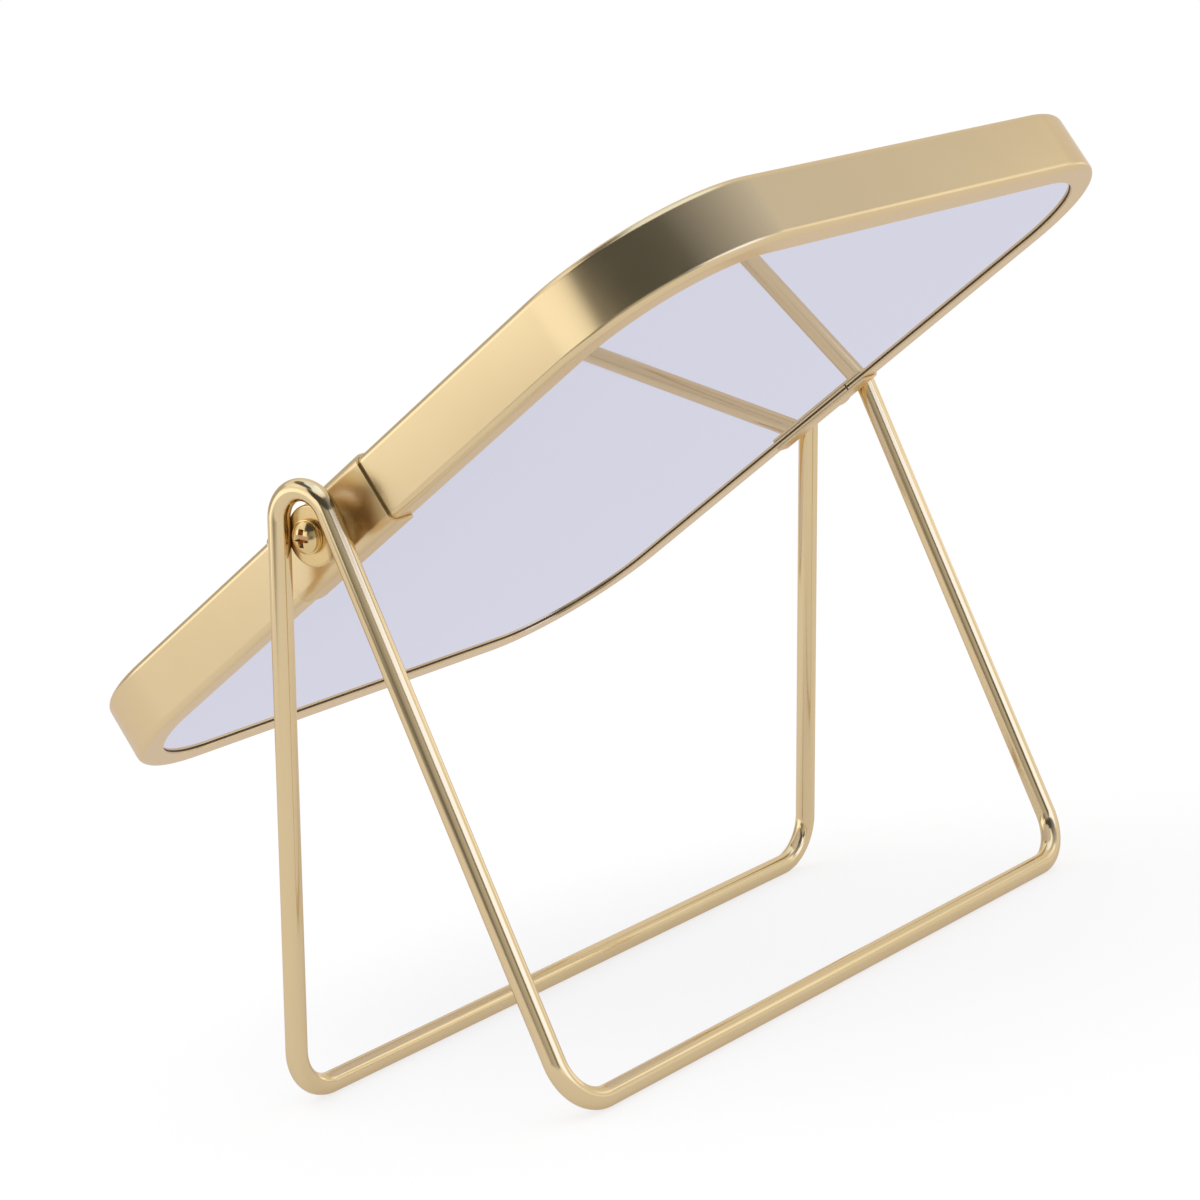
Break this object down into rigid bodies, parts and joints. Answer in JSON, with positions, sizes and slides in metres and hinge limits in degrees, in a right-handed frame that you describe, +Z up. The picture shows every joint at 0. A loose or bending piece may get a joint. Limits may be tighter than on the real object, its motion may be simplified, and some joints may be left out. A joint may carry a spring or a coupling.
{
  "type": "tabletop vanity mirror",
  "caption": "Rounded-rectangle framed mirror that tilts on side hinges between the legs of a bent-wire tabletop stand.",
  "frame": {"origin": "on the table, under the middle of the mirror, at the centre of the box at rest", "axes": "+X along the tilt axis to the right-hand hinge, -Y towards the side that the glass faces, +Z up"},
  "size_m": [0.166, 0.1642, 0.1511],
  "materials": {
    "satin_gold": "satin gold plating on steel",
    "bright_gold": "bright gold plating on steel",
    "bush_brass": "turned brass",
    "plain_steel": "zinc-plated steel",
    "nylon": "natural nylon",
    "dark_strip": "black rubber strip",
    "silvered_glass": "silvered float glass",
    "foam": "closed-cell foam",
    "board": "pressed board",
    "back_finish": "satin gold paint on pressed board"
  },
  "bodies": {
    "stand": {"stand_wire": "satin_gold", "pivot_plate_left": "satin_gold", "pivot_plate_right": "satin_gold"},
    "mirror": {"pivot_screw_left": "bright_gold", "pivot_screw_right": "bright_gold", "spring_washer_left": "bright_gold", "spring_washer_right": "bright_gold", "friction_washer_left": "nylon", "friction_washer_right": "nylon", "threaded_bush_left": "bush_brass", "threaded_bush_right": "bush_brass", "hinge_clip_left": "satin_gold", "hinge_clip_right": "satin_gold", "frame_rim": "satin_gold", "joint_plate": "plain_steel", "lip_gasket": "dark_strip", "mirror_glass": "silvered_glass", "foam_sheet": "foam", "backing_board": "board", "back_panel": "back_finish"}
  },
  "joints": [
    {"name": "mirror_tilt", "type": "hinge", "parent": "stand", "child": "mirror", "pos_m": [0, 0.00177, 0.1031], "axis": [1, 0, 0], "continuous": true}
  ]
}
